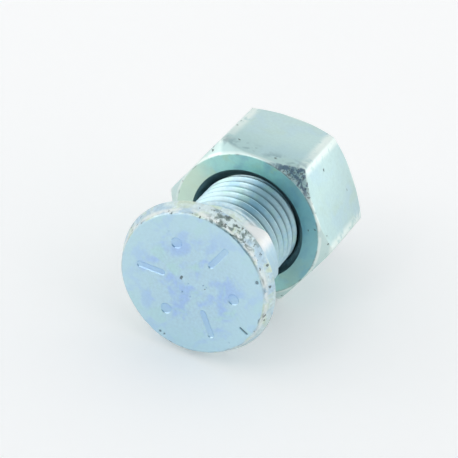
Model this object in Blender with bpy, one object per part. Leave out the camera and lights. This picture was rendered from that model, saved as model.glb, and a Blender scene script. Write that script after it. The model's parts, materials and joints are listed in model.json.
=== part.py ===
"""A plow bolt with its hexagon nut, lying on its side as it comes to rest on a bench.

The bolt is one forging: a flat round head with an upright rim, a cone under it that sits in a
countersunk hole, a round neck with a key on one side and a rolled right-hand thread. The key
keeps the bolt from turning in its hole. The nut is one hexagon piece, chamfered on both ends
and countersunk at both ends of its bore.

Lengths along the bolt are measured from the outer face of the head. Each piece is modelled with
the bolt's axis on +Y, flats of the nut facing up and down, and an empty carries the resting pose.
"""

import bpy
import bmesh
from math import atan2, cos, pi, radians, sin, tan
from mathutils import Vector

MM = 0.001

# Thread of the bolt; its crest and root are the flats of the rolled profile
thread_diameter = 14.0 * MM
thread_pitch = 1.5 * MM
thread_depth = 0.92 * MM
crest_width = 0.25 * MM
root_width = 0.22 * MM
runout_length = 1.7 * MM
thread_start_angle = radians(71.0)
bolt_length = 35.0 * MM
point_chamfer = 1.1 * MM
point_step = 0.18 * MM

# Head, cone and neck
rim_diameter = 21.8 * MM
rim_height = 2.25 * MM
rim_draft = 0.65 * MM
face_edge_radius = 0.45 * MM
rim_edge_radius = 0.3 * MM
cone_angle = radians(80.0)
neck_step = 0.05 * MM
neck_fillet = 1.0 * MM
neck_length = 1.5 * MM

# Key forged on one side of cone and neck; the angle is from the top, clockwise from the head
key_angle = radians(66.0)
key_height = 1.6 * MM
key_top_width = 4.6 * MM
key_foot_width = 9.2 * MM
key_end_gap = 0.1 * MM
key_end_slope = 0.4 * MM

# Nut
nut_across_flats = 21.0 * MM
nut_height = 12.9 * MM
nut_face_inset = 0.2 * MM
nut_chamfer_angle = radians(39.0)
nut_countersink_width = 0.8 * MM
nut_countersink_angle = radians(90.0)
nut_bore_clearance = 0.3 * MM
nut_distance = 17.1 * MM

# Sizes that follow from the ones above
rim_radius = rim_diameter / 2
face_radius = rim_radius - rim_draft
crest_radius = thread_diameter / 2
root_radius = crest_radius - thread_depth
neck_radius = crest_radius - neck_step
point_radius = root_radius - point_step
nut_flat_radius = nut_across_flats / 2
nut_corner_radius = nut_flat_radius / cos(pi / 6)
nut_face_radius = nut_flat_radius - nut_face_inset
nut_bore_radius = crest_radius + nut_bore_clearance
nut_mouth_radius = nut_bore_radius + nut_countersink_width

# Facets round the axis: multiples of twelve, so that some points fall straight down
bolt_facets = 48
nut_facets = 96
arc_steps = 3
key_rings = 6


def material(name, colour, roughness, metallic):
    """A plain metal finish as a Principled material."""
    made = bpy.data.materials.new(name)
    made.use_nodes = True
    shader = made.node_tree.nodes["Principled BSDF"]
    shader.inputs["Base Color"].default_value = (*colour, 1.0)
    shader.inputs["Roughness"].default_value = roughness
    shader.inputs["Metallic"].default_value = metallic
    return made


def zinc_on_bolt():
    """Bright zinc plate with a blue passivation, on the forged and rolled bolt."""
    return material("zinc_plated_bolt", (0.58, 0.68, 0.75), 0.34, 0.9)


def zinc_on_nut():
    """The same plate on the nut, a little greener."""
    return material("zinc_plated_nut", (0.55, 0.67, 0.68), 0.38, 0.9)


def along_axis(radius, angle, station):
    """A point round the bolt's axis; the angle turns clockwise from the top, seen from the head."""
    return Vector((radius * sin(angle), station, radius * cos(angle)))


def arc(centre, radius, start, end):
    """Points (radius, station) of an arc in the turned profile, both ends included."""
    turns = [start + (end - start) * k / arc_steps for k in range(arc_steps + 1)]
    return [(centre[0] + radius * cos(t), centre[1] + radius * sin(t)) for t in turns]


def head_profile():
    """The turned profile of head, cone and neck, as (radius, station), face to thread."""
    lean = cone_angle / 2
    # The face meets the rim in a rounded edge
    edge_centre = (face_radius - face_edge_radius, face_edge_radius)
    edge = arc(edge_centre, face_edge_radius, -pi / 2, 0.0)
    # The rim, widest at its back, meets the cone in a small shoulder
    shoulder_centre = (rim_radius - rim_edge_radius, rim_height - rim_edge_radius)
    shoulder = arc(shoulder_centre, rim_edge_radius, 0.0, lean)
    # The cone runs into the neck through a hollow fillet that is tangent to both
    wide_radius, wide_station = shoulder[-1]
    meeting = wide_station + (wide_radius - neck_radius) / tan(lean)
    fillet_centre = (neck_radius + neck_fillet, meeting + neck_fillet * tan(lean / 2))
    fillet = arc(fillet_centre, neck_fillet, pi + lean, pi)
    return [*edge, *shoulder, *fillet]


def neck_end():
    """The station where the plain neck ends and the thread begins."""
    return head_profile()[-1][1] + neck_length


def head_and_neck():
    """The whole profile from the middle of the face to the thread, with rings for the key."""
    turned = head_profile()
    cone_start, cone_end = turned[-arc_steps - 2], turned[-arc_steps - 1]
    cone = [(cone_start[0] + (cone_end[0] - cone_start[0]) * k / key_rings,
             cone_start[1] + (cone_end[1] - cone_start[1]) * k / key_rings)
            for k in range(1, key_rings)]
    key_end = neck_end() - key_end_gap
    neck = [(neck_radius, key_end - key_end_slope), (neck_radius, key_end - key_end_slope / 2),
            (neck_radius, key_end), (neck_radius, neck_end())]
    return [(0.0, 0.0), *turned[:-arc_steps - 1], *cone, *turned[-arc_steps - 1:], *neck]


def eased(value):
    """A smooth step from 0 to 1, flat at both ends."""
    value = min(1.0, max(0.0, value))
    return value * value * (3.0 - 2.0 * value)


def with_key(radius, station, angle):
    """The radius of head and neck at an angle, raised where the key stands over them."""
    turn = abs((angle - key_angle + pi) % (2 * pi) - pi)
    beside = neck_radius * sin(min(turn, pi / 2))
    across = eased((key_foot_width / 2 - beside) / ((key_foot_width - key_top_width) / 2))
    along = eased((neck_end() - key_end_gap - station) / key_end_slope)
    return max(radius, neck_radius + key_height * across * along)


def thread_radius(station, is_crest):
    """The radius of the thread's crest or root at a station along the bolt."""
    # The thread fades in over its run-out
    formed = eased((station - neck_end()) / runout_length)
    full = crest_radius if is_crest else root_radius
    # The point's chamfer cuts across crests and roots alike
    rise = (crest_radius - point_radius) / point_chamfer
    chamfer = point_radius + (bolt_length - station) * rise
    return min(neck_radius + (full - neck_radius) * formed, chamfer)


def thread_column(mesh, index):
    """One column of thread points, on the line along the bolt at one facet's angle.

    A right-hand thread moves away from the head as it turns clockwise, seen from the head, so
    each column's points lie a little further along than those of the column before.
    """
    angle = 2 * pi * index / bolt_facets
    start = neck_end()
    lead = thread_pitch * ((angle - thread_start_angle) / (2 * pi) - 1.0)
    flank = (thread_pitch - crest_width - root_width) / 2
    offsets = ((0.0, True), (crest_width, True),
               (crest_width + flank, False), (crest_width + flank + root_width, False))
    turns = int((bolt_length - start) / thread_pitch) + 4
    column = []
    for turn in range(turns):
        for offset, is_crest in offsets:
            station = start + lead + turn * thread_pitch + offset
            station = min(bolt_length, max(start, station))
            radius = thread_radius(station, is_crest)
            column.append(mesh.verts.new(along_axis(radius, angle, station)))
    return column


def helical_thread(mesh):
    """The thread's skin: neighbouring columns joined along the helix."""
    columns = [thread_column(mesh, index) for index in range(bolt_facets)]
    points_per_turn = 4
    for index, column in enumerate(columns):
        # The last column meets the first one turn further along
        last = index == bolt_facets - 1
        beside = columns[0][points_per_turn:] if last else columns[index + 1]
        for row in range(min(len(column), len(beside)) - 1):
            mesh.faces.new((column[row], column[row + 1], beside[row + 1], beside[row]))


def turned_surface(mesh, profile, facets, first_angle=0.0, shape=None):
    """A surface of revolution about the axis; a profile end at radius 0 closes in a point.

    shape, where given, changes the radius at a station and an angle, as for the key.
    """
    rings = []
    for radius, station in profile:
        if radius == 0.0:
            rings.append([mesh.verts.new((0.0, station, 0.0))])
            continue
        ring = []
        for k in range(facets):
            angle = first_angle + 2 * pi * k / facets
            reach = shape(radius, station, angle) if shape else radius
            ring.append(mesh.verts.new(along_axis(reach, angle, station)))
        rings.append(ring)
    for lower, upper in zip(rings, rings[1:]):
        for k in range(facets):
            n = (k + 1) % facets
            corners = [lower[k % len(lower)], upper[k % len(upper)],
                       upper[n % len(upper)], lower[n % len(lower)]]
            mesh.faces.new(list(dict.fromkeys(corners)))


def object_from(mesh, name, finish, sharp):
    """A finished object: doubles merged, normals outward, round parts shaded smooth."""
    bmesh.ops.remove_doubles(mesh, verts=mesh.verts, dist=1e-7)
    bmesh.ops.dissolve_degenerate(mesh, edges=mesh.edges, dist=1e-7)
    bmesh.ops.recalc_face_normals(mesh, faces=mesh.faces)
    data = bpy.data.meshes.new(name)
    mesh.to_mesh(data)
    mesh.free()
    data.shade_smooth()
    data.set_sharp_from_angle(angle=sharp)
    if finish:
        data.materials.append(finish)
    made = bpy.data.objects.new(name, data)
    bpy.context.collection.objects.link(made)
    return made


def guide_from(mesh, name):
    """A shape that only guides a cut and isn't part of the object."""
    made = object_from(mesh, name, None, radians(30))
    made.hide_render = True
    made.display_type = "WIRE"
    return made


def make_bolt():
    """The forged bolt: head, cone, neck and key, helical thread and flat point in one skin."""
    mesh = bmesh.new()
    turned_surface(mesh, head_and_neck(), bolt_facets, shape=with_key)
    helical_thread(mesh)
    turned_surface(mesh, [(point_radius, bolt_length), (0.0, bolt_length)], bolt_facets)
    return object_from(mesh, "plow_bolt", zinc_on_bolt(), radians(28))


def nut_outline_guide():
    """The turned outline that takes the hexagon's corners off at both ends."""
    outside = nut_corner_radius + 1.0 * MM
    slope = (outside - nut_face_radius) * tan(nut_chamfer_angle)
    profile = [(0.0, 0.0), (nut_face_radius, 0.0), (outside, slope),
               (outside, nut_height - slope), (nut_face_radius, nut_height), (0.0, nut_height)]
    mesh = bmesh.new()
    turned_surface(mesh, profile, nut_facets)
    return guide_from(mesh, "nut_outline_guide")


def nut_bore_guide():
    """The bore with its two countersinks, clear of the bolt's thread."""
    lean = nut_countersink_angle / 2
    depth = nut_countersink_width / tan(lean)
    past = 1.0 * MM
    wide = nut_mouth_radius + past * tan(lean)
    profile = [(0.0, -past), (wide, -past), (nut_bore_radius, depth),
               (nut_bore_radius, nut_height - depth), (wide, nut_height + past),
               (0.0, nut_height + past)]
    mesh = bmesh.new()
    turned_surface(mesh, profile, bolt_facets)
    return guide_from(mesh, "nut_bore_guide")


def cut_with(target, operation, guide):
    """A Boolean that stays on its object, with its guide riding on the same object."""
    cut = target.modifiers.new(guide.name, "BOOLEAN")
    cut.operation = operation
    cut.object = guide
    cut.solver = "EXACT"
    guide.parent = target


def make_nut():
    """The nut: a hexagon with flats at the top and bottom, chamfered and then bored."""
    profile = [(0.0, 0.0), (nut_corner_radius, 0.0), (nut_corner_radius, nut_height),
               (0.0, nut_height)]
    mesh = bmesh.new()
    turned_surface(mesh, profile, 6, first_angle=pi / 6)
    nut = object_from(mesh, "hex_nut", zinc_on_nut(), radians(20))
    cut_with(nut, "INTERSECT", nut_outline_guide())
    cut_with(nut, "DIFFERENCE", nut_bore_guide())
    return nut


def resting_pose():
    """The empty that lays the bolt down on the rim of its head and a flat of its nut.

    The head is a little wider than the nut, so the axis dips towards the nut. The origin ends
    up under the middle of the whole object, on the surface that it lies on.
    """
    # Where the rim and the nut touch the surface, as stations along the bolt
    touch_rim = rim_height - rim_edge_radius
    chamfered = nut_face_inset * tan(nut_chamfer_angle)
    nut_is_lower = nut_flat_radius > rim_radius
    touch_nut = nut_distance + (chamfered if nut_is_lower else nut_height - chamfered)
    dip = atan2(rim_radius - nut_flat_radius, touch_nut - touch_rim)
    height = rim_radius * cos(dip) + touch_rim * sin(dip)
    # The whole object's ends along the surface
    front = -(face_radius - face_edge_radius) * abs(sin(dip))
    back = bolt_length * cos(dip) + point_radius * abs(sin(dip))
    pose = bpy.data.objects.new("resting_pose", None)
    bpy.context.collection.objects.link(pose)
    pose.location = (0.0, -(front + back) / 2, height)
    pose.rotation_euler = (-dip, 0.0, 0.0)
    return pose


def build():
    """Both pieces, placed along the bolt's axis and laid down together."""
    for old in list(bpy.data.objects):
        bpy.data.objects.remove(old)
    pose = resting_pose()
    bolt = make_bolt()
    bolt.parent = pose
    nut = make_nut()
    nut.parent = pose
    nut.location = (0.0, nut_distance, 0.0)


build()
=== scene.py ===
import json
import math

import bmesh
import bpy
from mathutils import Matrix, Vector, noise


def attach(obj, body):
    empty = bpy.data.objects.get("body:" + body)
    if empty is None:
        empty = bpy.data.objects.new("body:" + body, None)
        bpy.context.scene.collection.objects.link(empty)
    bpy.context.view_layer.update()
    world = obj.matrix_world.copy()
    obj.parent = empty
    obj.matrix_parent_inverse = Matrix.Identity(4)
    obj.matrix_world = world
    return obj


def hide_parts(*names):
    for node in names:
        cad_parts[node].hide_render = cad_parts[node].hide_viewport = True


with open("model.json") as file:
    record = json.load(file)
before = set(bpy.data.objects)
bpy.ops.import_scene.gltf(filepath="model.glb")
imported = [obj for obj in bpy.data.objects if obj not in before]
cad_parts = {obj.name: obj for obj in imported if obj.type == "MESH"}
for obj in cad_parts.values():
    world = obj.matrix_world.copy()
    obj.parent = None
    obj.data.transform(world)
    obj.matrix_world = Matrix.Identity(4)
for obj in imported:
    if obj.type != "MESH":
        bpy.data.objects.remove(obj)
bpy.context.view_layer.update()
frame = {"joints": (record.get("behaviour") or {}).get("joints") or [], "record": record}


# The bolt is one steel forging: a flat round head with an upright rim, a cone and a key under
# it, a plain neck, and a thread rolled into the shank. It is zinc plated and passivated blue,
# and lies on the rim of its head, so its axis, read from the frame, dips towards the nut.
MM = 0.001
joint = frame["joints"][0]
mounts = {mount["name"]: Vector(mount["pos_m"]) for mount in frame["record"]["mounts"]}
head_centre = mounts["head_face"]
dip = math.asin(-joint["axis"][2])

thread_diameter = 14.0 * MM
thread_pitch = 1.5 * MM
thread_depth = 0.92 * MM
thread_crest = 0.25 * MM
thread_root = 0.22 * MM
thread_runout = 1.7 * MM
thread_start = math.radians(71.0)
bolt_length = 35.0 * MM
point_chamfer = 1.1 * MM
crest_radius = thread_diameter / 2
root_radius = crest_radius - thread_depth
point_radius = root_radius - 0.18 * MM

rim_radius = 10.9 * MM
rim_height = 2.25 * MM
face_radius = 10.25 * MM
face_edge = 0.45 * MM
rim_edge = 0.3 * MM
cone_lean = math.radians(40.0)
neck_radius = 6.95 * MM
neck_fillet = 1.0 * MM
neck_length = 1.5 * MM

key_angle = math.radians(66.0)
key_height = 1.6 * MM
key_top_width = 4.6 * MM
key_foot_width = 9.2 * MM
key_end_gap = 0.1 * MM
key_end_slope = 0.4 * MM
key_hollow = 0.8 * MM

bolt_facets = 160
sharp_edge = math.radians(40.0)
same_place = 0.01 * MM


def eased(value):
    """A smooth step from 0 to 1, flat at both ends."""
    value = min(1.0, max(0.0, value))
    return value * value * (3.0 - 2.0 * value)


def arc(radius, station, size, start, end, steps):
    """Points (radius, station) of an arc in a turned profile, both ends included."""
    turns = [start + (end - start) * k / steps for k in range(steps + 1)]
    return [(radius + size * math.cos(t), station + size * math.sin(t)) for t in turns]


def straight(first, last, steps):
    """Points between two points of a turned profile, both ends left out."""
    return [(first[0] + (last[0] - first[0]) * k / steps,
             first[1] + (last[1] - first[1]) * k / steps) for k in range(1, steps)]


def turn(name, profile, facets):
    """A turned solid along Y: a disc, extruded and resized from each ring to the next."""
    radius, station = profile[0]
    bpy.ops.object.select_all(action="DESELECT")
    bpy.ops.mesh.primitive_circle_add(vertices=facets, radius=radius, fill_type="NGON",
                                      location=(0.0, station, 0.0),
                                      rotation=(math.pi / 2, 0.0, 0.0))
    piece = bpy.context.object
    piece.name = piece.data.name = name
    bpy.ops.object.transform_apply(location=True, rotation=True, scale=True)
    bpy.ops.object.mode_set(mode="EDIT")
    bpy.ops.mesh.select_all(action="SELECT")
    for (last_radius, last_station), (radius, station) in zip(profile, profile[1:]):
        step = (0.0, station - last_station, 0.0)
        bpy.ops.mesh.extrude_region_move(TRANSFORM_OT_translate={"value": step})
        scale = radius / last_radius
        bpy.ops.transform.resize(value=(scale, 1.0, scale), center_override=(0.0, station, 0.0))
    bpy.ops.mesh.select_all(action="SELECT")
    bpy.ops.mesh.normals_make_consistent(inside=False)
    bpy.ops.mesh.select_all(action="DESELECT")
    bpy.ops.object.mode_set(mode="OBJECT")
    return piece


def select_edges(piece, chosen):
    """In edit mode, selects the edges for which chosen(edge) is true, and no others."""
    bpy.ops.mesh.select_mode(type="EDGE")
    bpy.ops.mesh.select_all(action="DESELECT")
    mesh = bmesh.from_edit_mesh(piece.data)
    for edge_ in mesh.edges:
        if chosen(edge_):
            edge_.select_set(True)
    bmesh.update_edit_mesh(piece.data)


def rim_at(station):
    """Picks the open edges of a mesh that lie at a station."""
    return lambda edge_: edge_.is_boundary and abs(edge_.verts[0].co.y - station) < same_place


def open_cap(piece, station):
    """Takes off the flat cap at a station, in edit mode."""
    mesh = bmesh.from_edit_mesh(piece.data)
    caps = [f for f in mesh.faces
            if len(f.verts) > 4 and abs(f.calc_center_median().y - station) < same_place]
    bmesh.ops.delete(mesh, geom=caps, context="FACES_ONLY")
    bmesh.update_edit_mesh(piece.data)


def edit(piece):
    """Selects one piece alone and goes into edit mode on it."""
    bpy.ops.object.select_all(action="DESELECT")
    piece.select_set(True)
    bpy.context.view_layer.objects.active = piece
    bpy.ops.object.mode_set(mode="EDIT")


def wrap_thread(name, facets, start, end, crest, root, radius_at):
    """A thread's skin: a flat grid, sheared by one pitch a turn and wrapped round the axis.

    radius_at(station, share) gives the radius, where share is 1 on a crest and 0 in a root.
    Stations rise clockwise as seen from the head, which makes the thread right-handed.
    """
    # One pitch of the profile, as (offset, share), with rounded corners on crest and root
    flank = (thread_pitch - crest - root) / 2
    crest_corner, root_corner = 0.93, 0.05
    rise = [(flank * k / 4, 0.04 + 0.88 * k / 4) for k in (1, 2, 3)]
    section = [(0.0, crest_corner), (crest * 0.25, 1.0), (crest * 0.75, 1.0),
               (crest, crest_corner)]
    section += [(crest + offset, 0.97 - share) for offset, share in rise]
    section += [(crest + flank, root_corner), (crest + flank + root * 0.3, 0.0),
                (crest + flank + root * 0.7, 0.0), (crest + flank + root, root_corner)]
    section += [(crest + flank + root + offset, share) for offset, share in rise]
    turns = int((end - start) / thread_pitch) + 4
    rows = turns * len(section)
    bpy.ops.object.select_all(action="DESELECT")
    bpy.ops.mesh.primitive_grid_add(x_subdivisions=facets, y_subdivisions=rows - 1, size=1.0)
    skin = bpy.context.object
    skin.name = skin.data.name = name
    for vertex in skin.data.vertices:
        column = round((vertex.co.x + 0.5) * facets)
        row = round((vertex.co.y + 0.5) * (rows - 1))
        angle = 2 * math.pi * column / facets
        offset, share = section[row % len(section)]
        lead = thread_pitch * ((angle - thread_start) / (2 * math.pi) - 1.0)
        station = start + lead + (row // len(section)) * thread_pitch + offset
        station = min(end, max(start, station))
        radius = radius_at(station, share)
        vertex.co = (radius * math.sin(angle), station, radius * math.cos(angle))
    return skin


def finish_mesh(piece, smooth_angle):
    """Doubles merged, slivers dissolved, normals outward, smooth but for its sharp edges."""
    sliver = 0.0008 * MM
    edit(piece)
    bpy.ops.mesh.select_all(action="SELECT")
    bpy.ops.mesh.remove_doubles(threshold=sliver)
    bpy.ops.mesh.dissolve_degenerate(threshold=sliver)
    bpy.ops.mesh.normals_make_consistent(inside=False)
    bpy.ops.object.mode_set(mode="OBJECT")
    bpy.ops.object.shade_smooth_by_angle(angle=smooth_angle)


def lay_down(piece):
    """Turns a piece from the bolt's own axis to where it lies, with its place in its mesh."""
    bpy.ops.object.select_all(action="DESELECT")
    piece.select_set(True)
    bpy.context.view_layer.objects.active = piece
    piece.location = head_centre
    piece.rotation_euler = (-dip, 0.0, 0.0)
    bpy.ops.object.transform_apply(location=True, rotation=True, scale=True)


# Head, cone and neck are one turned profile, from the face to where the thread begins
edge = arc(face_radius - face_edge, face_edge, face_edge, -math.pi / 2, 0.0, 6)
shoulder = arc(rim_radius - rim_edge, rim_height - rim_edge, rim_edge, 0.0, cone_lean, 5)
meeting = shoulder[-1][1] + (shoulder[-1][0] - neck_radius) / math.tan(cone_lean)
hollow = arc(neck_radius + neck_fillet, meeting + neck_fillet * math.tan(cone_lean / 2),
             neck_fillet, math.pi + cone_lean, math.pi, 7)
neck_end = hollow[-1][1] + neck_length
profile = [*edge, *straight(edge[-1], shoulder[0], 7), *shoulder,
           *straight(shoulder[-1], hollow[0], 18), *hollow,
           *straight(hollow[-1], (neck_radius, neck_end), 12), (neck_radius, neck_end)]
bolt = turn("plow_bolt_forging", profile, bolt_facets)

# The key is raised on one side of cone and neck
for vertex in bolt.data.vertices:
    radius = math.hypot(vertex.co.x, vertex.co.z)
    if vertex.co.y < rim_height or radius < 0.5 * neck_radius:
        continue
    angle = math.atan2(vertex.co.x, vertex.co.z)
    turned = abs((angle - key_angle + math.pi) % (2 * math.pi) - math.pi)
    beside = neck_radius * math.sin(min(turned, math.pi / 2))
    across = eased((key_foot_width / 2 - beside) / ((key_foot_width - key_top_width) / 2))
    along = eased((neck_end - key_end_gap - vertex.co.y) / key_end_slope)
    raised = neck_radius + key_height * across * along
    near = max(0.0, 1.0 - abs(radius - raised) / key_hollow) if across * along > 0.0 else 0.0
    reach = max(radius, raised) + key_hollow * near * near / 4
    vertex.co.x *= reach / radius
    vertex.co.z *= reach / radius

# The face gets a fine grid of its own, for its stamped marks and its dents
edit(bolt)
open_cap(bolt, neck_end)
open_cap(bolt, 0.0)
select_edges(bolt, rim_at(0.0))
bpy.ops.mesh.fill_grid(span=bolt_facets // 4)
bpy.ops.mesh.subdivide(number_cuts=3)
bpy.ops.object.mode_set(mode="OBJECT")

# Stamped marks: three strokes and three round dots, by their angles clockwise from the top
stroke_angles = (30.0, 150.0, 270.0)
stroke_from, stroke_to = 4.3 * MM, 7.5 * MM
stroke_width = 0.78 * MM
mark_depth = 0.13 * MM
mark_wall = 0.20 * MM
dot_angles = (90.0, 210.0, 330.0)
dot_distance = 5.9 * MM
dot_width = 1.45 * MM
# Small handling dents, as (x, z, width, depth)
dents = [(-1.11, -1.73, 0.30, 0.08), (0.08, -2.01, 0.26, 0.07), (-0.48, -0.21, 0.28, 0.07),
         (1.58, 0.36, 0.26, 0.07), (2.02, 0.23, 0.22, 0.06), (8.64, 3.83, 0.50, 0.12),
         (-3.24, -8.87, 0.42, 0.10), (-2.60, -9.06, 0.36, 0.09), (3.6, 6.1, 0.24, 0.05),
         (-6.9, 3.9, 0.26, 0.05), (6.4, -6.6, 0.30, 0.06), (-4.2, 6.4, 0.22, 0.05)]
crack_from = Vector((7.50, -3.70)) * MM
crack_to = Vector((9.20, -4.55)) * MM
crack_width = 0.20 * MM
crack_depth = 0.12 * MM
# The forging die leaves the face a little uneven, up to where its edge is rounded
uneven_depth = 0.012 * MM
flat_radius = face_radius - face_edge
flat_blend = 0.3 * MM
finer_margin = 0.25 * MM


def distance_to_stroke(point, first, last):
    """How far a point of the face lies from the line between two others."""
    along = last - first
    share = min(1.0, max(0.0, (point - first).dot(along) / along.length_squared))
    return (point - first - along * share).length


def outside_marks(point):
    """How far a point of the face lies outside the nearest stamped mark."""
    apart = []
    for degrees in stroke_angles:
        outwards = Vector((math.sin(math.radians(degrees)), math.cos(math.radians(degrees))))
        away = distance_to_stroke(point, outwards * stroke_from, outwards * stroke_to)
        apart.append(away - stroke_width / 2)
    for degrees in dot_angles:
        outwards = Vector((math.sin(math.radians(degrees)), math.cos(math.radians(degrees))))
        apart.append((point - outwards * dot_distance).length - dot_width / 2)
    return min(apart)


def outside_wear(point):
    """How far a point of the face lies outside the nearest dent or the crack."""
    apart = [(point - Vector((x, z)) * MM).length - width * MM for x, z, width, _ in dents]
    return min(min(apart), distance_to_stroke(point, crack_from, crack_to) - crack_width)


def face_depth(x, z):
    """How far the struck and handled face lies behind its plane, at a place on it."""
    point = Vector((x, z))
    depth = mark_depth * (1.0 - eased(outside_marks(point) / mark_wall + 0.5))
    for dent_x, dent_z, width, deep in dents:
        away = (point - Vector((dent_x, dent_z)) * MM).length
        depth = max(depth, deep * MM * (1.0 - eased(away / (width * MM))))
    away = distance_to_stroke(point, crack_from, crack_to)
    depth = max(depth, crack_depth * (1.0 - eased(away / crack_width)))
    swell = noise.noise(point.to_3d() * 0.3 / MM) + 0.35 * noise.noise(point.to_3d() * 0.9 / MM)
    return depth + uneven_depth * (1.0 + swell)


# The grid is made finer round marks and wear, and then pressed in
edit(bolt)
bpy.ops.mesh.select_mode(type="FACE")
bpy.ops.mesh.select_all(action="DESELECT")
mesh = bmesh.from_edit_mesh(bolt.data)
for face in mesh.faces:
    centre = face.calc_center_median()
    point = Vector((centre.x, centre.z))
    apart = min(outside_marks(point), outside_wear(point))
    if abs(centre.y) < same_place and apart < finer_margin and point.length < flat_radius:
        face.select_set(True)
bmesh.update_edit_mesh(bolt.data)
bpy.ops.mesh.subdivide(number_cuts=2)
bpy.ops.object.mode_set(mode="OBJECT")

for vertex in bolt.data.vertices:
    radius = math.hypot(vertex.co.x, vertex.co.z)
    if abs(vertex.co.y) < same_place and radius < face_radius:
        inside = eased((flat_radius + 0.02 * MM - radius) / flat_blend)
        vertex.co.y += inside * face_depth(vertex.co.x, vertex.co.z)

# The rim isn't quite round: it is beaten flatter at the lower left, and a little uneven all
# round, except where the bolt rests on it
flat_angle = math.radians(-131.0)
flat_spread = math.radians(30.0)
flat_depth = 0.16 * MM
rim_swell = 0.05 * MM
swells_round, swells_along, finer_swells = 3.2, 0.6, 2.7
rest_spread = math.radians(14.0)
beaten_behind = rim_height + 0.8 * MM
beaten_reach = 1.0 * MM
beaten_blend = 0.7 * MM
for vertex in bolt.data.vertices:
    radius = math.hypot(vertex.co.x, vertex.co.z)
    if vertex.co.y > beaten_behind or radius < face_radius - beaten_reach:
        continue
    angle = math.atan2(vertex.co.x, vertex.co.z)
    turned = abs((angle - flat_angle + math.pi) % (2 * math.pi) - math.pi)
    place = Vector((math.sin(angle) * swells_round, math.cos(angle) * swells_round,
                    vertex.co.y / MM * swells_along))
    dent = flat_depth * (1.0 - eased(turned / flat_spread))
    dent += rim_swell * (0.5 + 0.5 * noise.noise(place) + 0.3 * noise.noise(place * finer_swells))
    dent *= eased((radius - face_radius + beaten_reach) / beaten_blend)
    dent *= eased((math.pi - abs(angle)) / rest_spread)
    vertex.co.x *= 1.0 - dent / radius
    vertex.co.z *= 1.0 - dent / radius

# Nicks struck into the rim, as (angle from the top, station, width, depth)
nick_radius = 10.2
nick_lean = 0.6
nicks = [(99.5, 0.12, 0.75, 0.16), (66.0, 0.10, 0.6, 0.10), (38.0, 0.25, 0.8, 0.09),
         (24.0, 0.9, 0.7, 0.07), (47.0, 1.3, 0.8, 0.08), (-22.0, 0.2, 0.7, 0.07),
         (-75.0, 0.3, 0.8, 0.08), (140.0, 0.2, 0.7, 0.08), (-150.0, 0.3, 0.8, 0.08)]
for degrees, station, width, depth in nicks:
    middle = Vector((math.sin(math.radians(degrees)) * nick_radius, station,
                     math.cos(math.radians(degrees)) * nick_radius)) * MM
    for vertex in bolt.data.vertices:
        pushed = depth * MM * (1.0 - eased((vertex.co - middle).length / (width * MM)))
        radius = math.hypot(vertex.co.x, vertex.co.z)
        if pushed > 0.0:
            vertex.co.x *= 1.0 - pushed / radius
            vertex.co.z *= 1.0 - pushed / radius
            vertex.co.y += pushed * nick_lean


def bolt_thread_radius(station, share):
    """The rolled thread fades in over its run-out, and the point's chamfer cuts across it."""
    formed = eased((station - neck_end) / thread_runout)
    full = root_radius + thread_depth * share
    rise = (crest_radius - point_radius) / point_chamfer
    chamfer = point_radius + (bolt_length - station) * rise
    return min(neck_radius + (full - neck_radius) * formed, chamfer)


thread = wrap_thread("bolt_thread", bolt_facets, neck_end, bolt_length,
                     thread_crest, thread_root, bolt_thread_radius)
finish_mesh(thread, sharp_edge)
edit(thread)
select_edges(thread, rim_at(bolt_length))
bpy.ops.mesh.edge_face_add()
bpy.ops.object.mode_set(mode="OBJECT")

bpy.ops.object.select_all(action="DESELECT")
thread.select_set(True)
bolt.select_set(True)
bpy.context.view_layer.objects.active = bolt
bpy.ops.object.join()
finish_mesh(bolt, sharp_edge)
lay_down(bolt)


def add(tree, kind, **settings):
    """A shader node with its settings, set to the right of the ones before it."""
    made = tree.nodes.new(kind)
    made.location = (190.0 * len(tree.nodes), 0.0)
    for key, value in settings.items():
        setattr(made, key, value)
    return made


def feed(tree, value, socket):
    """Gives an input another node's output, a number or a colour."""
    if isinstance(value, bpy.types.NodeSocket):
        tree.links.new(value, socket)
    elif isinstance(value, tuple) and socket.type == "RGBA":
        socket.default_value = (*value, 1.0)
    else:
        socket.default_value = value


def calc(tree, operation, *values):
    """Arithmetic on numbers and on other nodes' outputs."""
    made = add(tree, "ShaderNodeMath", operation=operation)
    for value, socket in zip(values, made.inputs):
        feed(tree, value, socket)
    return made.outputs[0]


def fade(tree, value, start, end, low=0.0, high=1.0):
    """A soft step, low where value is at start and high where it is at end."""
    made = add(tree, "ShaderNodeMapRange", interpolation_type="SMOOTHSTEP")
    for name, number in (("Value", value), ("From Min", start), ("From Max", end),
                         ("To Min", low), ("To Max", high)):
        feed(tree, number, made.inputs[name])
    return made.outputs["Result"]


def blend(tree, share, first, second):
    """One colour laid over another by its share."""
    made = add(tree, "ShaderNodeMix", data_type="RGBA")
    feed(tree, share, made.inputs[0])
    feed(tree, first, made.inputs[6])
    feed(tree, second, made.inputs[7])
    return made.outputs[2]


def cloud(tree, place, scale, detail=2.0, distortion=0.0):
    """Soft noise from 0 to 1, with scale blots to a millimetre."""
    made = add(tree, "ShaderNodeTexNoise")
    for name, value in (("Vector", place), ("Scale", scale), ("Detail", detail),
                        ("Distortion", distortion)):
        feed(tree, value, made.inputs[name])
    return made.outputs["Fac"]


def patchy(tree, place, scale, detail, distortion, start, end):
    """Ragged patches: 0 where soft noise is below start, 1 where it is above end."""
    return fade(tree, cloud(tree, place, scale, detail, distortion), start, end)


def times(tree, *shares):
    """Shares multiplied together, which leaves what lies in all of them."""
    product = shares[0]
    for share in shares[1:]:
        product = calc(tree, "MULTIPLY", product, share)
    return product


def band(tree, value, low, full_from, full_to, high):
    """A soft band: 1 from full_from to full_to, and 0 below low and above high."""
    return times(tree, fade(tree, value, low, full_from), fade(tree, value, high, full_to))


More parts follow.
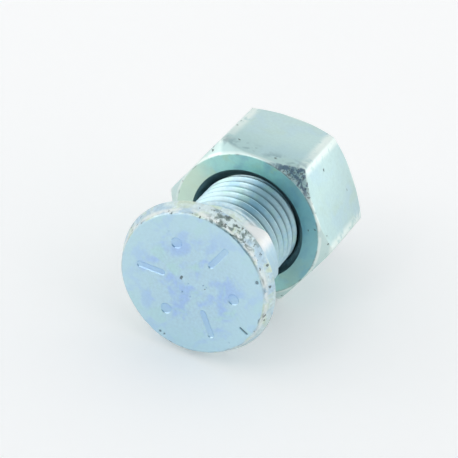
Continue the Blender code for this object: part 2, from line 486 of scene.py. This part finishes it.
def over(tree, colour, share, strength, tint):
    """A tint laid over a colour where share reaches, with no more than its strength."""
    return blend(tree, times(tree, share, strength), colour, tint)


def new_group(name, takes, gives):
    """An empty shader node group; takes maps each input's name to its value at the start."""
    tree = bpy.data.node_groups.new(name, "ShaderNodeTree")
    for label, value in takes.items():
        kind = "NodeSocketFloat"
        if isinstance(value, tuple):
            kind = "NodeSocketColor"
        elif value is None:
            kind = "NodeSocketVector"
        made = tree.interface.new_socket(name=label, in_out="INPUT", socket_type=kind)
        if kind == "NodeSocketColor":
            made.default_value = (*value, 1.0)
        elif kind == "NodeSocketFloat":
            made.default_value = value
    for label, kind in gives.items():
        tree.interface.new_socket(name=label, in_out="OUTPUT", socket_type=kind)
    return tree, add(tree, "NodeGroupInput").outputs, add(tree, "NodeGroupOutput").inputs


def use(tree, group, **values):
    """Places a node group in a material, with its own values."""
    made = add(tree, "ShaderNodeGroup", node_tree=group)
    for key, value in values.items():
        feed(tree, value, made.inputs[key.replace("_", " ")])
    return made.outputs


# Where a point lies on a turned piece, in millimetres and degrees
round_place, takes, gives = new_group("round_place", {"Place": None}, {
    "Radius": "NodeSocketFloat", "Station": "NodeSocketFloat", "Angle": "NodeSocketFloat"})
parts = add(round_place, "ShaderNodeSeparateXYZ")
feed(round_place, takes["Place"], parts.inputs[0])
square = calc(round_place, "ADD", times(round_place, parts.outputs["X"], parts.outputs["X"]),
              times(round_place, parts.outputs["Z"], parts.outputs["Z"]))
feed(round_place, calc(round_place, "SQRT", square), gives["Radius"])
feed(round_place, parts.outputs["Y"], gives["Station"])
turned = calc(round_place, "ARCTAN2", parts.outputs["X"], parts.outputs["Z"])
feed(round_place, calc(round_place, "DEGREES", turned), gives["Angle"])

# The passivation film: soft patches of three tints, clouded by a finer grain
zinc_film, takes, gives = new_group("zinc_film", {
    "Place": None, "Patches": 0.3, "Pale": (0.6, 0.7, 0.8), "Blue": (0.5, 0.6, 0.8),
    "Green": (0.6, 0.7, 0.7), "Grain": 0.06}, {"Color": "NodeSocketColor"})
blue_patches = patchy(zinc_film, takes["Place"], takes["Patches"], 3.0, 0.4, 0.46, 0.64)
shifted = add(zinc_film, "ShaderNodeVectorMath", operation="ADD")
feed(zinc_film, takes["Place"], shifted.inputs[0])
shifted.inputs[1].default_value = (31.0, 17.0, 5.0)
green_patches = patchy(zinc_film, shifted.outputs[0], takes["Patches"], 3.0, 0.6, 0.50, 0.68)
tint = blend(zinc_film, blue_patches, takes["Pale"], takes["Blue"])
tint = blend(zinc_film, green_patches, tint, takes["Green"])
fine = cloud(zinc_film, takes["Place"], 2.4, 5.0)
lightness = calc(zinc_film, "MULTIPLY_ADD", calc(zinc_film, "SUBTRACT", fine, 0.5),
                 times(zinc_film, takes["Grain"], 4.0), 1.0)
scaled = add(zinc_film, "ShaderNodeVectorMath", operation="SCALE")
feed(zinc_film, tint, scaled.inputs[0])
feed(zinc_film, lightness, scaled.inputs["Scale"])
feed(zinc_film, scaled.outputs[0], gives["Color"])

# Dark specks, where scale was struck off or plating is missing; Amount is the share of cells
plating_specks, takes, gives = new_group("plating_specks", {
    "Place": None, "Cells": 1.6, "Amount": 0.1}, {"Mask": "NodeSocketFloat"})
ragged = add(plating_specks, "ShaderNodeTexNoise")
feed(plating_specks, takes["Place"], ragged.inputs["Vector"])
ragged.inputs["Scale"].default_value = 2.3
ragged.inputs["Detail"].default_value = 3.0
pushed = add(plating_specks, "ShaderNodeVectorMath", operation="MULTIPLY_ADD")
feed(plating_specks, ragged.outputs["Color"], pushed.inputs[0])
pushed.inputs[1].default_value = (0.9, 0.9, 0.9)
feed(plating_specks, takes["Place"], pushed.inputs[2])
cells = add(plating_specks, "ShaderNodeTexVoronoi")
feed(plating_specks, pushed.outputs[0], cells.inputs["Vector"])
feed(plating_specks, takes["Cells"], cells.inputs["Scale"])
chance = add(plating_specks, "ShaderNodeSeparateColor")
feed(plating_specks, cells.outputs["Color"], chance.inputs[0])
chosen = calc(plating_specks, "LESS_THAN", chance.outputs[0], takes["Amount"])
reach = calc(plating_specks, "MULTIPLY_ADD", chance.outputs[1], 0.40, 0.18)
spot = fade(plating_specks, cells.outputs["Distance"], reach, times(plating_specks, reach, 0.55))
dust = cloud(plating_specks, pushed.outputs[0], times(plating_specks, takes["Cells"], 3.0), 4.0)
few = calc(plating_specks, "MULTIPLY_ADD", takes["Amount"], -0.22, 0.76)
dust = fade(plating_specks, dust, few, calc(plating_specks, "ADD", few, 0.08))
spots = calc(plating_specks, "MAXIMUM", times(plating_specks, chosen, spot),
             times(plating_specks, dust, 0.5))
feed(plating_specks, spots, gives["Mask"])

# The grain of plated steel, for its relief and for how dull it is
plated_grain, takes, gives = new_group("plated_grain", {"Place": None, "Specks": 0.0}, {
    "Height": "NodeSocketFloat", "Dullness": "NodeSocketFloat"})
coarse = cloud(plated_grain, takes["Place"], 1.1, 3.0)
small = cloud(plated_grain, takes["Place"], 7.0, 3.0)
height = calc(plated_grain, "MULTIPLY_ADD", small, 0.35, coarse)
feed(plated_grain, calc(plated_grain, "MULTIPLY_ADD", takes["Specks"], -0.9, height), gives["Height"])
feed(plated_grain, calc(plated_grain, "ADD", times(plated_grain, coarse, 0.6),
                        times(plated_grain, small, 0.4)), gives["Dullness"])

# A thin broken line of dirt that runs along an edge; Apart is the distance from it in mm
edge_line, takes, gives = new_group("edge_line", {
    "Place": None, "Apart": 0.0, "Width": 0.1, "Gaps": 0.5}, {"Mask": "NodeSocketFloat"})
near = fade(edge_line, calc(edge_line, "ABSOLUTE", takes["Apart"]), takes["Width"], 0.0)
unbroken = fade(edge_line, cloud(edge_line, takes["Place"], 0.5, 6.0), takes["Gaps"],
                calc(edge_line, "ADD", takes["Gaps"], 0.16))
feed(edge_line, times(edge_line, near, unbroken), gives["Mask"])


def metal(name):
    """A new metal, with its tree, its shader and the place on the bolt in millimetres."""
    material = bpy.data.materials.new(name)
    material.use_nodes = True
    tree = material.node_tree
    shader = tree.nodes["Principled BSDF"]
    where = add(tree, "ShaderNodeTexCoord")
    on_axis = add(tree, "ShaderNodeMapping", vector_type="TEXTURE")
    feed(tree, where.outputs["Object"], on_axis.inputs["Vector"])
    on_axis.inputs["Location"].default_value = head_centre
    on_axis.inputs["Rotation"].default_value = (-dip, 0.0, 0.0)
    on_axis.inputs["Scale"].default_value = (MM, MM, MM)
    return material, tree, shader, on_axis.outputs["Vector"]


def relief(tree, shader, height, depth):
    """Gives a metal its fine relief, depth deep in millimetres."""
    bump = add(tree, "ShaderNodeBump")
    bump.inputs["Strength"].default_value = 1.0
    bump.inputs["Distance"].default_value = depth * MM
    feed(tree, height, bump.inputs["Height"])
    feed(tree, bump.outputs["Normal"], shader.inputs["Normal"])


# Blue passivated zinc: bluest on the flat face, paler on rim, cone and thread, with painted shade and
# a little grime in the thread's roots, a painted highlight and painted shade on the key, and dark
# specks where the rim has been struck
# Some of these tints paint light: the key's bright flank is a painted highlight, and its blue flank
# and the thread's roots are painted shade
struck_tint = (0.38, 0.58, 0.86)
outer_tint = (0.56, 0.78, 0.86)
key_highlight_tint = (0.86, 0.86, 0.86)
key_shade_tint = (0.47, 0.66, 0.75)
bare_edge_tint = (0.82, 0.87, 0.86)
root_shade_and_grime = (0.10, 0.17, 0.20)
rim_grime = (0.17, 0.23, 0.22)
rim_specks = (0.09, 0.11, 0.10)

blue_zinc, tree, shader, place = metal("blue_passivated_zinc")
radius, station, angle = use(tree, round_place, Place=place)
on_face = use(tree, zinc_film, Place=place, Patches=0.34, Pale=(0.52, 0.72, 0.83),
              Blue=(0.43, 0.61, 0.88), Green=(0.50, 0.73, 0.77), Grain=0.07)["Color"]
behind = use(tree, zinc_film, Place=place, Patches=0.45, Pale=(0.64, 0.77, 0.79),
             Blue=(0.49, 0.66, 0.77), Green=(0.61, 0.73, 0.62), Grain=0.13)["Color"]
rolled = use(tree, zinc_film, Place=place, Patches=0.35, Pale=(0.56, 0.74, 0.79),
             Blue=(0.46, 0.69, 0.80), Green=(0.53, 0.74, 0.72), Grain=0.06)["Color"]

# The face is bluer where it was pressed in, and paler towards its edge
face_end = (face_radius - 0.3 * MM) / MM
front = times(tree, fade(tree, radius, face_end + 0.12, face_end - 0.1),
              fade(tree, station, 0.6, 0.4))
pressed = times(tree, front, fade(tree, station, 0.03, 0.09))
face_colour = over(tree, on_face, pressed, 0.6, struck_tint)
face_colour = over(tree, face_colour, fade(tree, radius, 4.5, 9.6), 0.6, outer_tint)

# Behind it, one flank of the key carries a painted highlight and the other carries painted shade in
# blue, and the rim is rubbed bright in patches next to the face
on_key = times(tree, fade(tree, angle, 20.0, 34.0), fade(tree, station, 2.2, 3.2))
key_highlight = times(tree, on_key, fade(tree, angle, 62.0, 50.0))
key_shade = times(tree, on_key, fade(tree, angle, 50.0, 62.0), fade(tree, angle, 110.0, 96.0))
bare_edge = times(tree, band(tree, station, 0.10, 0.30, 0.55, 1.05),
                  patchy(tree, place, 0.8, 5.0, 0.4, 0.36, 0.52))
colour = over(tree, behind, key_highlight, 0.8, key_highlight_tint)
colour = over(tree, colour, key_shade, 0.7, key_shade_tint)
colour = over(tree, colour, bare_edge, 0.75, bare_edge_tint)
colour = blend(tree, front, colour, face_colour)

# The thread's roots are painted dark: painted shade with a little grime, though none on the point of
# the bolt
point_start = (bolt_length - point_chamfer) / MM
on_thread = fade(tree, station, (neck_end + 0.6 * MM) / MM, (neck_end + 1.6 * MM) / MM)
roots_shaded = times(tree, on_thread, fade(tree, radius, 6.68, 6.30),
                 fade(tree, station, point_start + 0.9, point_start + 0.3))
colour = blend(tree, on_thread, colour, rolled)
colour = over(tree, colour, roots_shaded, 0.85, root_shade_and_grime)

# One side of the rim was struck: it is smudged, and specks of it are dark and bare
worn_side = band(tree, angle, -2.0, 10.0, 28.0, 56.0)
on_rim = times(tree, calc(tree, "SUBTRACT", 1.0, front), fade(tree, station, 4.6, 2.6))
smudge = times(tree, patchy(tree, place, 1.2, 6.0, 0.6, 0.45, 0.60),
               calc(tree, "MULTIPLY_ADD", worn_side, 0.84, 0.08), on_rim)
colour = blend(tree, smudge, colour, rim_grime)
rim_amount = times(tree, on_rim, calc(tree, "MULTIPLY_ADD", worn_side, 0.52, 0.16))
face_amount = times(tree, front, fade(tree, radius, 4.0, 2.0), 0.10)
specks = use(tree, plating_specks, Place=place, Cells=1.8,
             Amount=calc(tree, "MAXIMUM", rim_amount, face_amount))["Mask"]

# Dirt lies along the edge of the face and in its dents, but not in its stamped marks
dirt = use(tree, edge_line, Place=place, Apart=calc(tree, "SUBTRACT", radius, face_end + 0.2),
           Width=0.13, Gaps=0.50)["Mask"]
dirt = times(tree, dirt, fade(tree, station, 1.0, 0.6))
marks_start, marks_end = stroke_from / MM - 0.7, stroke_to / MM + 0.6
off_marks = calc(tree, "MAXIMUM", fade(tree, radius, marks_end, marks_end + 0.3),
                 fade(tree, radius, marks_start, marks_start - 0.4))
in_dents = times(tree, front, fade(tree, station, 0.05, 0.10), off_marks)
dark = calc(tree, "MAXIMUM", times(tree, specks, 0.75), times(tree, dirt, 0.5))
dark = calc(tree, "MAXIMUM", dark, times(tree, in_dents, 0.6))
colour = blend(tree, dark, colour, rim_specks)

# Satin plate, duller on the key and on the specks, which are no longer bright metal
dirt_on_metal = -0.75
plate_dullness, grain_dullness, key_dullness, dirt_dullness = 0.22, 0.22, 0.16, 0.30
feed(tree, colour, shader.inputs["Base Color"])
feed(tree, calc(tree, "MULTIPLY_ADD", dark, dirt_on_metal, 1.0), shader.inputs["Metallic"])
grain = use(tree, plated_grain, Place=place, Specks=dark)
dull = calc(tree, "MULTIPLY_ADD", grain["Dullness"], grain_dullness, plate_dullness)
dull = calc(tree, "MULTIPLY_ADD", on_key, key_dullness, dull)
dull = calc(tree, "MULTIPLY_ADD", dark, dirt_dullness, dull)
feed(tree, dull, shader.inputs["Roughness"])
relief(tree, shader, grain["Height"], 0.03)

bolt.data.materials.clear()
bolt.data.materials.append(blue_zinc)
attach(bolt, "bolt")
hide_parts("plow_bolt")


# The nut is a steel hexagon, chamfered on both ends, countersunk and tapped, and plated like
# the bolt. It is screwed half way along the thread, on the bolt's own helix, and lies on one
# of its flats.
nut_across_flats = 21.0 * MM
nut_height = 12.9 * MM
nut_face_radius = 10.3 * MM
nut_chamfer = math.radians(39.0)
nut_mouth_radius = 8.1 * MM
nut_crest_radius = 6.3 * MM
nut_root_radius = 7.14 * MM
nut_edge = 0.09 * MM
nut_corner = 0.30 * MM
nut_facets = 192
nut_sharp_edge = math.radians(32.0)
nut_distance = 17.1 * MM
corner_radius = nut_across_flats / 2 / math.cos(math.pi / 6)
nut_end = nut_distance + nut_height

bpy.ops.object.select_all(action="DESELECT")
bpy.ops.mesh.primitive_cylinder_add(vertices=6, radius=corner_radius, depth=nut_height,
                                    location=(0.0, nut_distance + nut_height / 2, 0.0),
                                    rotation=(math.pi / 2, math.pi / 6, 0.0))
nut = bpy.context.object
nut.name = nut.data.name = "hex_nut_tapped"
bpy.ops.object.transform_apply(location=True, rotation=True, scale=True)


def cut(piece, tool, operation):
    """A Boolean cut, applied, after which the tool is put away."""
    bpy.ops.object.select_all(action="DESELECT")
    piece.select_set(True)
    bpy.context.view_layer.objects.active = piece
    modifier = piece.modifiers.new("cut", "BOOLEAN")
    modifier.operation = operation
    modifier.solver = "EXACT"
    modifier.object = tool
    bpy.ops.object.modifier_apply(modifier="cut")
    bpy.data.objects.remove(tool)


def round_edges(piece, chosen, width, segments):
    """Rounds the edges of a piece for which chosen(edge) is true."""
    edit(piece)
    select_edges(piece, chosen)
    bpy.ops.mesh.bevel(offset=width, segments=segments, affect="EDGES", clamp_overlap=True)
    bpy.ops.mesh.select_all(action="SELECT")
    bpy.ops.mesh.remove_doubles(threshold=same_place / 10)
    bpy.ops.mesh.normals_make_consistent(inside=False)
    bpy.ops.object.mode_set(mode="OBJECT")


def between_flats(edge_):
    """An upright edge of the hexagon."""
    return abs((edge_.verts[1].co - edge_.verts[0].co).normalized().y) > 0.99


def round_chamfer(edge_):
    """An edge outside the hole, where a chamfer meets a flat or a rounded corner."""
    leans = sorted(abs(face.normal.y) for face in edge_.link_faces)
    outer = math.hypot(edge_.verts[0].co.x, edge_.verts[0].co.z) > nut_face_radius
    return outer and leans[0] < 0.1 and 0.3 < leans[1] < 0.95


# The hexagon's corners, the chamfers at both ends, and their edges
round_edges(nut, between_flats, nut_corner, 4)
outside = corner_radius + 1.0 * MM
slope = (outside - nut_face_radius) * math.tan(nut_chamfer)
lip = arc(nut_face_radius - nut_edge / 2, nut_distance + nut_edge, nut_edge,
          -math.pi / 2, -nut_chamfer - math.radians(12), 3)
blank = turn("nut_blank", [*lip, (outside, nut_distance + slope), (outside, nut_end - slope),
                           *[(r, nut_distance + nut_end - s) for r, s in reversed(lip)]],
             nut_facets)
cut(nut, blank, "INTERSECT")

# The drilled and countersunk hole
past = 1.0 * MM
mouth_depth = nut_mouth_radius - nut_crest_radius
drill = turn("nut_drill", [(nut_mouth_radius + past, nut_distance - past),
                           (nut_crest_radius, nut_distance + mouth_depth),
                           (nut_crest_radius, nut_end - mouth_depth),
                           (nut_mouth_radius + past, nut_end + past)], nut_facets)
cut(nut, drill, "DIFFERENCE")

# The tapped thread: the bolt's helix, with play on its flanks and at its crests
tap_start = neck_end + thread_pitch * math.floor((nut_distance - past - neck_end) / thread_pitch)
tap_end = nut_end + past
tap_lead = 0.2 * MM
tap_hidden_radius = nut_crest_radius - 0.1 * MM
tap_crest = thread_crest + 0.16 * MM
tap_root = thread_root - 0.1 * MM
tap_play = 0.08 * MM


def tap_radius(station, share):
    """The tap's thread; its roots stay inside the drilled hole and its ends are plain."""
    share *= eased(min(station - tap_start, tap_end - station) / tap_lead)
    return tap_hidden_radius + (nut_root_radius - tap_hidden_radius) * share


tap = wrap_thread("nut_tap", nut_facets // 2, tap_start, tap_end, tap_crest, tap_root, tap_radius)
finish_mesh(tap, sharp_edge)
edit(tap)
for end_ in (tap_start, tap_end):
    select_edges(tap, rim_at(end_))
    bpy.ops.mesh.edge_face_add()
bpy.ops.object.mode_set(mode="OBJECT")
for vertex in tap.data.vertices:
    vertex.co.y -= tap_play
cut(nut, tap, "DIFFERENCE")
round_edges(nut, round_chamfer, nut_edge, 2)
finish_mesh(nut, nut_sharp_edge)
lay_down(nut)

# Green passivated zinc: teal on the faced ends, grey-green on the rolled flats, rougher and
# darker where the forging scale was left on the chamfers
# Of these tints, the two for the faced ends are painted light and painted shade, the bright corner
# tint is a painted highlight, and the hole and upper tints are painted shade
lit_end_tint = (0.66, 0.80, 0.66)
shaded_end_tint = (0.21, 0.44, 0.54)
chamfer_tint = (0.66, 0.80, 0.76)
edge_highlight_tint = (0.82, 0.90, 0.86)
hole_shade_tint = (0.20, 0.32, 0.36)
upper_flat_shade_tint = (0.32, 0.49, 0.50)
streak_tint = (0.20, 0.31, 0.34)
scale_tint = (0.10, 0.15, 0.24)
nut_specks = (0.09, 0.11, 0.11)

green_zinc, tree, shader, place = metal("green_passivated_zinc")
radius, station, angle = use(tree, round_place, Place=place)
flats = use(tree, zinc_film, Place=place, Patches=0.22, Pale=(0.51, 0.69, 0.69),
            Blue=(0.49, 0.67, 0.71), Green=(0.50, 0.67, 0.64), Grain=0.04)["Color"]
ends = use(tree, zinc_film, Place=place, Patches=0.30, Pale=(0.45, 0.77, 0.73),
           Blue=(0.36, 0.62, 0.66), Green=(0.48, 0.72, 0.60), Grain=0.04)["Color"]

# Where a point lies: how far from the ends, and whether on a faced end, a chamfer or the hole
ring = nut_face_radius / MM
mouth = nut_mouth_radius / MM
middle = (nut_distance + nut_height / 2) / MM
from_front = calc(tree, "SUBTRACT", station, nut_distance / MM)
from_end = calc(tree, "SUBTRACT", nut_height / 2 / MM,
                calc(tree, "ABSOLUTE", calc(tree, "SUBTRACT", station, middle)))
faced = times(tree, fade(tree, from_end, 0.10, 0.03), fade(tree, radius, ring + 0.1, ring - 0.05))
inside = fade(tree, radius, mouth + 0.05, mouth - 0.1)
cone_height = times(tree, calc(tree, "SUBTRACT", radius, ring), math.tan(nut_chamfer))
on_chamfer = times(tree, fade(tree, calc(tree, "SUBTRACT", from_end, cone_height), 0.14, 0.02),
                   calc(tree, "SUBTRACT", 1.0, faced))

# The faced ends carry painted light, greener, on one side and painted shade, a darker blue, on the
# other
lit_end_side = band(tree, angle, -120.0, -90.0, -62.0, -38.0)
shaded_end_side = band(tree, angle, 12.0, 34.0, 110.0, 150.0)
end_colour = over(tree, ends, lit_end_side, 0.8, lit_end_tint)
end_colour = over(tree, end_colour, shaded_end_side, 0.55, shaded_end_tint)
colour = blend(tree, faced, flats, end_colour)
colour = over(tree, colour, on_chamfer, 0.6, chamfer_tint)

# Corners carry a painted highlight with some rubbed wear, and the edge of each faced end carries a
# painted highlight
corner_highlight_and_wear = times(tree, fade(tree, radius, 11.45, 11.85),
                    patchy(tree, place, 0.9, 5.0, 0.4, 0.30, 0.50))
from_ring = calc(tree, "ABSOLUTE", calc(tree, "SUBTRACT", radius, ring + 0.22))
ring_highlight = times(tree, fade(tree, from_ring, 0.24, 0.06), fade(tree, from_end, 0.6, 0.3),
                  patchy(tree, place, 0.6, 4.0, 0.0, 0.36, 0.50))
colour = over(tree, colour, calc(tree, "MAXIMUM", corner_highlight_and_wear, ring_highlight), 0.75, edge_highlight_tint)
# The hole and its countersink are painted dark: painted shade inside the recess
colour = over(tree, colour, inside, 0.7, hole_shade_tint)

# The upper flat carries painted shade, darker towards the head, with a dark streak along that edge
on_top = times(tree, fade(tree, calc(tree, "ABSOLUTE", angle), 32.0, 28.0),
               fade(tree, radius, 10.2, 10.6))
upper_flat_shade = times(tree, on_top, fade(tree, from_front, 9.0, 1.0))
colour = over(tree, colour, upper_flat_shade, 0.50, upper_flat_shade_tint)
streak = times(tree, band(tree, from_front, 0.4, 1.4, 1.8, 3.4),
               patchy(tree, place, 0.7, 4.0, 0.5, 0.44, 0.60), on_top)
colour = over(tree, colour, streak, 0.50, streak_tint)

# One corner kept its dark, rough forging scale
scaly = times(tree, band(tree, angle, 8.0, 18.0, 40.0, 50.0), fade(tree, from_front, 3.0, 2.0),
              on_chamfer)
scale = times(tree, scaly, patchy(tree, place, 1.9, 6.0, 0.5, 0.40, 0.58))
colour = over(tree, colour, scale, 0.75, scale_tint)

# Dark specks, and a line of dirt round each faced end
amount = calc(tree, "MULTIPLY_ADD", scaly, 0.75, calc(tree, "MULTIPLY_ADD", on_chamfer, 0.06, 0.01))
specks = use(tree, plating_specks, Place=place, Cells=2.2, Amount=amount)["Mask"]
dirt = use(tree, edge_line, Place=place, Apart=calc(tree, "SUBTRACT", radius, ring),
           Width=0.14, Gaps=0.46)["Mask"]
dirt = times(tree, dirt, fade(tree, from_end, 0.5, 0.2),
             fade(tree, station, middle + 1.0, middle - 1.0, 0.4, 1.0))
dark = calc(tree, "MAXIMUM", times(tree, specks, 0.7), times(tree, dirt, 0.6))
colour = blend(tree, dark, colour, nut_specks)

# Satin plate again, a little duller than the bolt's
nut_dullness, nut_grain_dullness = 0.24, 0.25
feed(tree, colour, shader.inputs["Base Color"])
feed(tree, calc(tree, "MULTIPLY_ADD", dark, dirt_on_metal, 1.0), shader.inputs["Metallic"])
grain = use(tree, plated_grain, Place=place, Specks=calc(tree, "MAXIMUM", dark, scaly))
dull = calc(tree, "MULTIPLY_ADD", grain["Dullness"], nut_grain_dullness, nut_dullness)
dull = calc(tree, "MULTIPLY_ADD", dark, dirt_dullness, dull)
feed(tree, dull, shader.inputs["Roughness"])
relief(tree, shader, grain["Height"], 0.035)

nut.data.materials.clear()
nut.data.materials.append(green_zinc)
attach(nut, "nut")
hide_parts("hex_nut")


# The studio: a white floor under a plain white sky, three large soft lamps, a blue-grey card
# behind the camera that gives the metal its darker tones, and the camera where the photograph
# was taken from. None of it is part of the bolt.
floor_size = 3.0
floor_glow = 0.18
sky_light, sky_seen = 0.82, 1.0


def seen_by_eye(tree):
    """1 for what the camera sees, straight or by way of metal or glass, and 0 for what lights."""
    rays = add(tree, "ShaderNodeLightPath")
    seen = calc(tree, "MAXIMUM", rays.outputs["Is Camera Ray"], rays.outputs["Is Glossy Ray"])
    return calc(tree, "MAXIMUM", seen, rays.outputs["Is Transmission Ray"])


bpy.ops.object.select_all(action="DESELECT")
bpy.ops.mesh.primitive_plane_add(size=floor_size, location=(0.0, 0.0, 0.0))
floor = bpy.context.object
floor.name = "studio_floor"
white = bpy.data.materials.new("white_floor")
white.use_nodes = True
tree = white.node_tree
paint = tree.nodes["Principled BSDF"]
paint.inputs["Base Color"].default_value = (0.94, 0.94, 0.94, 1.0)
paint.inputs["Roughness"].default_value = 0.9
paint.inputs["Specular IOR Level"].default_value = 0.0
paint.inputs["Emission Color"].default_value = (1.0, 1.0, 1.0, 1.0)
feed(tree, times(tree, seen_by_eye(tree), floor_glow), paint.inputs["Emission Strength"])
floor.data.materials.append(white)

world = bpy.data.worlds.new("white_studio")
world.use_nodes = True
bpy.context.scene.world = world
tree = world.node_tree
background = tree.nodes["Background"]
background.inputs["Color"].default_value = (1.0, 1.0, 1.0, 1.0)
feed(tree, fade(tree, seen_by_eye(tree), 0.0, 1.0, sky_light, sky_seen),
     background.inputs["Strength"])

azimuth = math.radians(19.6374)
elevation = math.radians(33.5850)
roll = math.radians(9.6345)
aim = Vector((-1.9292, -1.5287, 9.8080)) * MM
distance = 333.287 * MM
back = Vector((math.sin(azimuth) * math.cos(elevation),
               -math.cos(azimuth) * math.cos(elevation), math.sin(elevation)))
camera = bpy.data.objects.new("camera", bpy.data.cameras.new("camera"))
bpy.context.scene.collection.objects.link(camera)
camera.data.lens = 196.507
camera.data.sensor_width = 36.0
camera.data.clip_start = 0.01
camera.data.clip_end = 10.0
camera.location = aim + back * distance
facing = (-back).to_track_quat("-Z", "Y").to_matrix().to_4x4()
camera.rotation_mode = "QUATERNION"
camera.rotation_quaternion = (facing @ Matrix.Rotation(roll, 4, "Z")).to_quaternion()
bpy.context.scene.camera = camera
bpy.context.scene.view_settings.view_transform = "Standard"


def lamp(name, towards, away, size, power):
    """A square soft lamp that looks at the middle of the bolt from one side."""
    light = bpy.data.lights.new(name, "AREA")
    light.shape = "SQUARE"
    light.size = size
    light.energy = power
    made = bpy.data.objects.new(name, light)
    bpy.context.scene.collection.objects.link(made)
    made.location = Vector(towards).normalized() * away
    made.rotation_euler = Vector(towards).to_track_quat("Z", "Y").to_euler()
    return made


lamp("left_lamp", (-0.80, -0.52, 0.34), 0.60, 0.36, 0.24)
lamp("front_lamp", (-0.28, -0.66, 0.70), 0.60, 0.16, 0.22)
lamp("right_lamp", (0.66, 0.74, 0.10), 0.60, 0.40, 0.24)

card_radius = 0.28
card_distance = 0.45
bpy.ops.object.select_all(action="DESELECT")
bpy.ops.mesh.primitive_circle_add(vertices=48, radius=card_radius, fill_type="NGON",
                                  location=back * card_distance,
                                  rotation=back.to_track_quat("Z", "Y").to_euler())
card = bpy.context.object
card.name = "dark_card"
blue_grey = bpy.data.materials.new("blue_grey_card")
blue_grey.use_nodes = True
paint = blue_grey.node_tree.nodes["Principled BSDF"]
paint.inputs["Base Color"].default_value = (0.27, 0.42, 0.50, 1.0)
paint.inputs["Roughness"].default_value = 0.9
card.data.materials.append(blue_grey)
card.visible_camera = False
